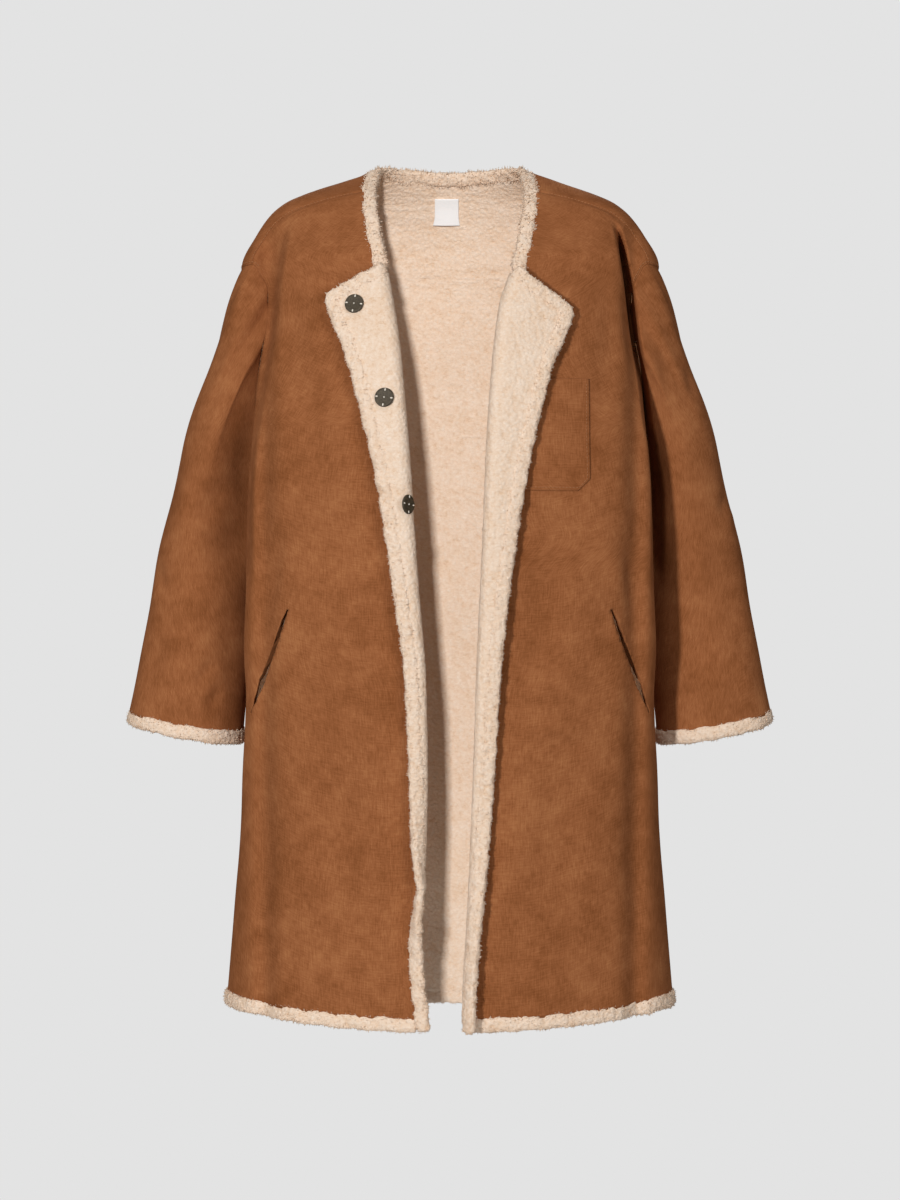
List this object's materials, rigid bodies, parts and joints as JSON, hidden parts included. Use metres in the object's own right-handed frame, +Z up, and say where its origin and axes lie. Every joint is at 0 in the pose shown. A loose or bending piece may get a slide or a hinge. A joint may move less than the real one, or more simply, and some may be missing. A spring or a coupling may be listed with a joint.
{
  "type": "open sherpa coat",
  "caption": "Open knee-length coat of bonded suede and sherpa with turned lapels, pile-edged seams, patch and slanted pockets and sewn snaps, worn form with no wearer.",
  "frame": {"origin": "between the shoulders, level with the top of the shoulder line at the back of the neck", "axes": "+Z up, the coat faces -Y, the wearer's left is at +X"},
  "size_m": [0.7616, 0.2945, 1.0045],
  "materials": {
    "suede": "brushed suede, matt",
    "sherpa": "clipped curly pile",
    "bronze_cap": "dark bronze, satin",
    "white_tape": "woven satin tape, bare"
  },
  "bodies": {
    "root": {"front_right": "suede", "front_left": "suede", "back": "suede", "sleeve_right": "suede", "sleeve_left": "suede", "pocket_chest": "suede", "pocket_side_right": "suede", "pocket_side_left": "suede", "trim_neck": "sherpa", "trim_front_right": "sherpa", "trim_front_left": "sherpa", "trim_hem": "sherpa", "trim_cuff_right": "sherpa", "trim_cuff_left": "sherpa", "snap_right_1": "bronze_cap", "snap_right_2": "bronze_cap", "snap_right_3": "bronze_cap", "snap_left_1": "bronze_cap", "snap_left_2": "bronze_cap", "snap_left_3": "bronze_cap", "label": "white_tape"}
  },
  "joints": []
}
